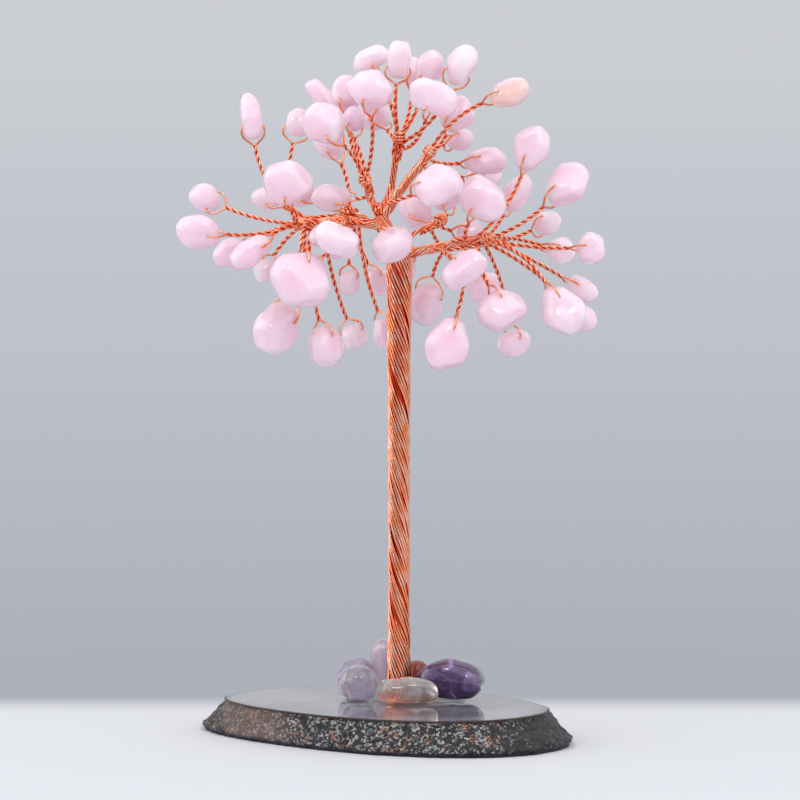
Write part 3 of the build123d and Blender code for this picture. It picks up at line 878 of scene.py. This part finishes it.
# Tumbled stones at the foot
pebblePlan = {
    **wornPlan,
    "facets": 5,
    "facetShares": (0.04, 0.12),
    "smoothing": 16,
    "swell": 0.4,
    "dents": ((0.7, 0.14), (0.2, 0.4)),
    "bands": {"scale": 190.0, "detail": 5.0, "distortion": 1.4},
    "bandEdge": 0.14,
    "rustWave": 0.004,
    "rustRange": (0.0085, 0.0115),
    "rustShare": 0.8,
}
glassy = {"Roughness": 0.03, "IOR": 1.5, "Coat Weight": 0.5}
cloudy = {"Roughness": 0.04, "IOR": 1.54, "Coat Weight": 0.5, "Transmission Weight": 0.65}
pebbleLooks = {
    "amethyst_pebble": {
        "deep": (0.04, 0.009, 0.07),
        "pale": (0.30, 0.20, 0.42),
        "veins": 0.63,
        "fixed": {"Roughness": 0.05, "IOR": 1.54, "Coat Weight": 1.0, "Coat Roughness": 0.03},
    },
    "clear_pebble": {
        "deep": (0.74, 0.68, 0.70),
        "pale": (0.95, 0.93, 0.94),
        "rust": (0.72, 0.36, 0.20),
        "veins": 0.5,
        "fixed": {**glassy, "Transmission Weight": 0.8},
    },
    "smoky_pebble": {
        "deep": (0.62, 0.58, 0.66),
        "pale": (0.90, 0.86, 0.92),
        "veins": 0.5,
        "fixed": {**glassy, "Transmission Weight": 0.85},
    },
    "lavender_pebble": {
        "deep": (0.48, 0.38, 0.62),
        "pale": (0.82, 0.77, 0.88),
        "veins": 0.48,
        "fixed": cloudy,
    },
    "rose_pebble": {
        "deep": (0.70, 0.48, 0.62),
        "pale": (0.88, 0.76, 0.84),
        "veins": 0.48,
        "fixed": cloudy,
    },
    "red_pebble": {
        "deep": (0.22, 0.04, 0.03),
        "pale": (0.42, 0.12, 0.07),
        "veins": 0.6,
        "fixed": {"Roughness": 0.15, "IOR": 1.54},
    },
}


def pebbleFinish(name, looks):
    plan = pebblePlan

    def pattern(graph, place):
        bands = cloud(graph, place, **plan["bands"])
        share = step(graph, bands, looks["veins"] - plan["bandEdge"], looks["veins"] + plan["bandEdge"])
        colour = mixed(graph, share, looks["deep"], looks["pale"])
        if "rust" in looks:
            _, _, high = axes(graph, place)
            low = 1.0 - step(graph, high + bands * plan["rustWave"], *plan["rustRange"])
            colour = mixed(graph, low * plan["rustShare"], colour, looks["rust"])
        return {"Base Color": colour}

    return surface(name, looks["fixed"], pattern)


for name, looks in pebbleLooks.items():
    pebble = wornStone(f"tumbled_{name}", name, pebbleFinish(name, looks), pebblePlan)
    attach(pebble, "tree")
    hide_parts(name)
print("pebbles made")

# Agate slice: a polished face, and a rough rim of crust
slicePlan = {
    "centre": (-2.4, -3.0),
    "columns": 420,
    "rows": 18,
    "footRows": 3,
    "footRise": 0.25,
    "girdle": 1.1,
    "thick": 6.2,
    "levelBand": 0.02,
    "crust": 1.1,
    "crustScale": 0.45,
    "crustNoise": (1.0, 2.0, 4),
    "fineCrust": 0.45,
    "fineScale": 1.6,
    "footShare": 0.6,
    "topShare": 0.25,
    "bevel": 0.12,
    "edge": 0.25,
    "faceShares": (0.94, 0.5),
}
sliceLook = {
    "grainScale": 2500.0,
    "fine": {"scale": 2400.0, "detail": 4.0},
    "patches": {"scale": 330.0, "detail": 3.0, "distortion": 0.6},
    "calmWave": 0.008,
    "calmRange": (0.018, 0.03),
    "calmDark": 0.24,
    "leftWave": 0.004,
    "endRange": (0.030, 0.0325),
    "endDark": 0.16,
    "grainShare": 0.7,
    "fineShare": 0.5,
    "grainLow": 0.16,
    "specks": [
        (0.0, (0.004, 0.004, 0.006)),
        (0.42, (0.008, 0.008, 0.011)),
        (0.52, (0.05, 0.05, 0.055)),
        (0.62, (0.17, 0.165, 0.17)),
        (0.72, (0.32, 0.31, 0.31)),
        (0.85, (0.45, 0.43, 0.41)),
        (1.0, (0.52, 0.48, 0.44)),
    ],
    "rosy": (0.40, 0.18, 0.11),
    "rosyPatches": (0.55, 0.66),
    "rosyGrains": (0.3, 0.55),
    "rosyShare": 0.8,
    "warm": (0.22, 0.13, 0.105),
    "warmRange": (0.016, 0.021),
    "warmShare": 0.5,
    "foot": (0.012, 0.013, 0.022),
    "footWave": 0.0006,
    "footRange": (0.0007, 0.0013),
    "rim": (0.035, 0.022, 0.018),
    "rimRange": (0.0056, 0.006),
    "roughness": 0.22,
    "fineRoughness": 0.35,
    "crustBump": (0.8, 0.0005),
    "faceDark": (0.13, 0.13, 0.155),
    "facePale": (0.27, 0.27, 0.30),
    "bands": {"scale": 38.0, "detail": 4.0, "distortion": 1.2},
    "bandRange": (0.35, 0.68),
    "edgeScale": 500.0,
    "edgeWave": 0.5,
    "edgeRange": (0.6, 1.1),
    "polish": {"Roughness": 0.05, "IOR": 1.55, "Coat Weight": 0.2, "Coat Roughness": 0.03},
}


def polarRim(mesh, height, angles):
    places = placesOf(mesh)
    level = np.abs(places[:, 2] - height) < slicePlan["levelBand"]
    flat = places[level, :2] - np.array(slicePlan["centre"])
    around = np.arctan2(flat[:, 1], flat[:, 0])
    reach = np.linalg.norm(flat, axis=1)
    rim = reach > reach.max() / 2
    order = np.argsort(around[rim])
    return np.interp(angles, around[rim][order], reach[rim][order], period=2 * pi)


def agateCrustPattern(graph, place):
    # black and grey grains, rosy patches, a brown left end and a calm dark right end
    look = sliceLook
    sockets = {"Vector": place, "Scale": look["grainScale"]}
    grains = graph.node("ShaderNodeTexVoronoi", None, sockets, out="Color")
    shade = graph.node("ShaderNodeSeparateColor", None, {"Color": grains}, out=0)
    fine = cloud(graph, place, **look["fine"])
    patches = cloud(graph, place, **look["patches"])
    side, _, high = axes(graph, place)
    calm = step(graph, side + patches * look["calmWave"], *look["calmRange"])
    left = 0.0 - side - patches * look["leftWave"]
    end = step(graph, left, *look["endRange"])
    grain = shade * look["grainShare"] + fine * look["fineShare"] - look["grainLow"]
    grain = grain - calm * look["calmDark"] - end * look["endDark"]
    colour = graph.node("ShaderNodeValToRGB", {"stops": look["specks"]}, {"Fac": grain})
    rosy = step(graph, patches, *look["rosyPatches"]) * step(graph, grain, *look["rosyGrains"])
    colour = mixed(graph, rosy * (1.0 - calm) * look["rosyShare"], colour, look["rosy"])
    warm = step(graph, left, *look["warmRange"]) * (1.0 - end)
    colour = mixed(graph, warm * look["warmShare"], colour, look["warm"])
    above = step(graph, high + fine * look["footWave"], *look["footRange"])
    colour = mixed(graph, above, look["foot"], colour)
    colour = mixed(graph, step(graph, high, *look["rimRange"]), colour, look["rim"])
    rough = fine * look["fineRoughness"] + look["roughness"]
    height = fine + shade * look["grainShare"]
    return {"Base Color": colour, "Roughness": rough, "Normal": bumped(graph, height, *look["crustBump"])}


def agateFacePattern(graph, place):
    look = sliceLook
    bands = step(graph, cloud(graph, place, **look["bands"]), *look["bandRange"])
    colour = mixed(graph, bands, look["faceDark"], look["facePale"])
    wave = cloud(graph, place, look["edgeScale"]) * look["edgeWave"]
    edge = step(graph, onMesh(graph, "edge") + wave, *look["edgeRange"])
    return {"Base Color": mixed(graph, edge, colour, look["rim"])}


agateFace = surface("agatePolish", sliceLook["polish"], agateFacePattern)
agateCrust = surface("agateCrust", {"IOR": 1.5}, agateCrustPattern)


def ringFaces(first, last, count):
    # quads from each ring of points to the next
    faces = []
    for row in range(first, last):
        lower, upper = row * count, (row + 1) * count
        for number in range(count):
            after = (number + 1) % count
            faces.append((lower + number, lower + after, upper + after, upper + number))
    return faces


def agateSlice():
    plan = slicePlan
    count = plan["columns"]
    angles = np.linspace(-pi, pi, count, endpoint=False)
    rims = (0, plan["girdle"], plan["thick"])
    levels = [polarRim(nodes["agate_slice"].data, height, angles) for height in rims]
    foot = np.linspace(plan["footRise"], plan["girdle"], plan["footRows"])
    wall = np.linspace(plan["girdle"], plan["thick"] - plan["bevel"], plan["rows"])[1:]
    heights = np.concatenate(([0.0], foot, wall, [plan["thick"]]))
    points = []
    for height in heights:
        for angle, column in zip(angles, zip(*levels)):
            reach = np.interp(height, rims, column)
            spot = Vector((reach * cos(angle), reach * sin(angle), height))
            rough = noise.fractal(spot * plan["crustScale"], *plan["crustNoise"]) * 0.5 + 0.5
            inset = rough * plan["crust"] + evenNoise(spot * plan["fineScale"]) * plan["fineCrust"]
            if height == heights[0]:
                inset *= plan["footShare"]
            if height >= heights[-2]:
                inset = plan["topShare"] * inset + (plan["edge"] if height == heights[-1] else 0)
            scale = 1 - max(inset, 0) / reach
            x = plan["centre"][0] + reach * cos(angle) * scale
            y = plan["centre"][1] + reach * sin(angle) * scale
            points.append((x, y, height))
    topRow = len(heights) - 1
    innerRow = topRow + len(plan["faceShares"])
    outline = points[topRow * count :]
    middle = np.array((*plan["centre"], plan["thick"]))
    for share in plan["faceShares"]:
        points += [tuple(middle + (np.array(point) - middle) * share) for point in outline]
    faces = ringFaces(0, topRow, count)
    crustFaces = len(faces)
    faces.append(tuple(reversed(range(count))))
    faces += ringFaces(topRow, innerRow, count)
    faces.append(tuple(innerRow * count + number for number in range(count)))
    mesh = bpy.data.meshes.new("agateSlice")
    mesh.from_pydata([tuple(value * mm for value in point) for point in points], [], faces)
    edge = np.zeros(len(points), np.float32)
    edge[: (topRow + 1) * count] = 1
    mesh.attributes.new("edge", "FLOAT", "POINT").data.foreach_set("value", edge)
    mesh.materials.append(agateCrust)
    mesh.materials.append(agateFace)
    for face in mesh.polygons:
        face.material_index = 0 if face.index < crustFaces else 1
        face.use_smooth = face.index < crustFaces
    return linked("agateSlice", mesh)


agate = agateSlice()
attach(agate, "tree")
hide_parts("agate_slice")

# Clear resin round the foot: a low pool with a soft edge
resinPlan = {
    "centre": (0.8, -0.6),
    "halfLength": 12.0,
    "halfWidth": 8.4,
    "low": 6.2,
    "thick": 0.6,
    "columns": 96,
    "shares": (1.0, 0.97, 0.93, 0.87, 0.78, 0.6, 0.3),
    "power": 7,
    "edgeDrop": 0.97,
    "wave": 0.07,
    "waveScale": 1.7,
    "finish": {
        "Base Color": (0.80, 0.79, 0.84, 1),
        "Roughness": 0.04,
        "IOR": 1.5,
        "Alpha": 0.22,
    },
}


def resinPool():
    plan = resinPlan
    count = plan["columns"]
    points = []
    for row, share in enumerate((1.0, *plan["shares"])):
        for number in range(count):
            angle = 2 * pi * number / count
            around = Vector((cos(angle), sin(angle), 0))
            reach = share * (1 - plan["wave"] * evenNoise(around * plan["waveScale"]))
            high = 0 if row == 0 else plan["thick"] * (1 - plan["edgeDrop"] * share ** plan["power"])
            x = plan["centre"][0] + around.x * plan["halfLength"] * reach
            y = plan["centre"][1] + around.y * plan["halfWidth"] * reach
            points.append((x * mm, y * mm, (plan["low"] + high) * mm))
    rows = len(plan["shares"])
    faces = [tuple(reversed(range(count))), *ringFaces(0, rows, count)]
    faces.append(tuple(rows * count + number for number in range(count)))
    mesh = bpy.data.meshes.new("resinPool")
    mesh.from_pydata(points, [], faces)
    mesh.materials.append(surface("clearResin", plan["finish"]))
    for face in mesh.polygons:
        face.use_smooth = face.index > 0
    return linked("resinPool", mesh)


pool = resinPool()
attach(pool, "tree")
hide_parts("resin_bed")
print("slice and resin made")

# Pale floor that fades to the grey of the room behind
stagePlan = {
    "half": 30.0,
    "near": (0.63, 0.645, 0.685),
    "far": (0.80, 0.81, 0.83),
    "behind": 0.025,
    "around": 0.16,
    "fade": 0.035,
    "glow": [(0.2, (0.42, 0.435, 0.485)), (1.0, (0.53, 0.545, 0.60))],
    "glowReach": 0.6,
    "paper": {"Roughness": 0.9, "Specular IOR Level": 0.1},
}
roomPlan = {
    "low": (0.53, 0.545, 0.60),
    "high": (0.61, 0.625, 0.66),
    "rise": 0.1,
    "front": 0.7,
    "frontRange": (-0.75, 0.0),
    "sides": (1.0, 1.0, 1.0),
    "sideRange": (0.4, 0.85),
    "ambient": (0.98, 0.98, 0.99),
}


def seenRays(graph):
    # rays that show the background: camera, glossy and transmission
    path = graph.node("ShaderNodeLightPath")
    camera, glossy, through = [path.also(f"Is {kind} Ray") for kind in ("Camera", "Glossy", "Transmission")]
    return graph.maths("MAXIMUM", camera, graph.maths("MAXIMUM", glossy, through)), camera


def paleFloor():
    plan = stagePlan
    half = plan["half"]
    corners = [(-half, -half, 0), (half, -half, 0), (half, half, 0), (-half, half, 0)]
    mesh = bpy.data.meshes.new("paleFloor")
    mesh.from_pydata(corners, [], [(0, 1, 2, 3)])
    material = surface("palePaper", plan["paper"])
    tree = material.node_tree
    graph = Wired(tree)
    place = graph.node("ShaderNodeTexCoord", out="Object")
    _, back, _ = axes(graph, place)
    reach = graph.node("ShaderNodeVectorMath", {"operation": "LENGTH"}, {0: place}, out="Value")
    away = graph.maths("MAXIMUM", back - plan["behind"], reach - plan["around"])
    fade = step(graph, away, 0.0, plan["fade"])
    paper = tree.nodes["Principled BSDF"]
    graph.put(paper.inputs["Base Color"], mixed(graph, fade, plan["near"], plan["far"]))
    distance = reach / (reach + plan["glowReach"])
    glow = graph.node("ShaderNodeValToRGB", {"stops": plan["glow"]}, {"Fac": distance})
    light = graph.node("ShaderNodeEmission", None, {"Color": glow})
    seen, _ = seenRays(graph)
    sockets = {0: fade * seen, 1: Wired(tree, paper.outputs[0]), 2: light}
    both = graph.node("ShaderNodeMixShader", None, sockets)
    graph.put(tree.nodes["Material Output"].inputs["Surface"], both)
    mesh.materials.append(material)
    return linked("paleFloor", mesh)


paleFloor()


def paleRoom():
    # the photo's grey gradient behind, a dimmer front, white sides and ceiling, and an even ambient light
    plan = roomPlan
    world = bpy.data.worlds.new("paleRoom")
    world.use_nodes = True
    graph = Wired(world.node_tree)
    across, back, up = axes(graph, graph.node("ShaderNodeTexCoord", out="Object"))
    wall = mixed(graph, step(graph, up, 0.0, plan["rise"]), plan["low"], plan["high"])
    seen, camera = seenRays(graph)
    lit = graph.maths("MAXIMUM", camera, step(graph, back, *plan["frontRange"]))
    shown = mixed(graph, lit, tuple(value * plan["front"] for value in plan["low"]), wall)
    aside = graph.maths("MAXIMUM", graph.maths("ABSOLUTE", across), up)
    shown = mixed(graph, step(graph, aside, *plan["sideRange"]), shown, plan["sides"])
    colour = mixed(graph, seen, plan["ambient"], shown)
    graph.put(world.node_tree.nodes["Background"].inputs["Color"], colour)
    return world


bpy.context.scene.world = paleRoom()

# Soft studio light, and the camera at the photo's angle
lightPlan = {
    "keySoftbox": {"at": (0.55, -0.6, 0.75), "size": 0.7, "power": 1.6},
    "sideSoftbox": {"at": (-0.75, -0.1, 0.45), "size": 0.7, "power": 1.5},
    "topSoftbox": {"at": (-0.05, 0.0, 0.95), "size": 0.6, "power": 0.5},
    "glintLamp": {"at": (0.2, -0.8, 0.6), "size": 0.18, "power": 0.7},
    "leftGlintLamp": {"at": (-0.4, -0.7, 0.7), "size": 0.18, "power": 0.7},
}
target = Vector((0.0, 0.0, 0.075))


def aimed(holder, at, aim):
    holder.location = at
    holder.rotation_euler = (aim - holder.location).to_track_quat("-Z", "Y").to_euler()
    return holder


for name, lamp in lightPlan.items():
    light = bpy.data.lights.new(name, "AREA")
    light.energy = lamp["power"]
    light.size = lamp["size"]
    aimed(linked(name, light), lamp["at"], target)

cameraPlan = {
    "at": (0.0002, -0.6, 0.079),
    "aim": (0.0002, 0.0, 0.0629),
    "focalPixels": 3189,
    "imagePixels": 800,
    "sensor": 36,
    "clip": (0.01, 100),
}
cameraData = bpy.data.cameras.new("camera")
cameraData.sensor_width = cameraPlan["sensor"]
cameraData.lens = cameraPlan["focalPixels"] / cameraPlan["imagePixels"] * cameraPlan["sensor"]
cameraData.clip_start, cameraData.clip_end = cameraPlan["clip"]
camera = aimed(linked("camera", cameraData), cameraPlan["at"], Vector(cameraPlan["aim"]))
bpy.context.scene.camera = camera
bpy.context.scene.view_settings.view_transform = "Standard"
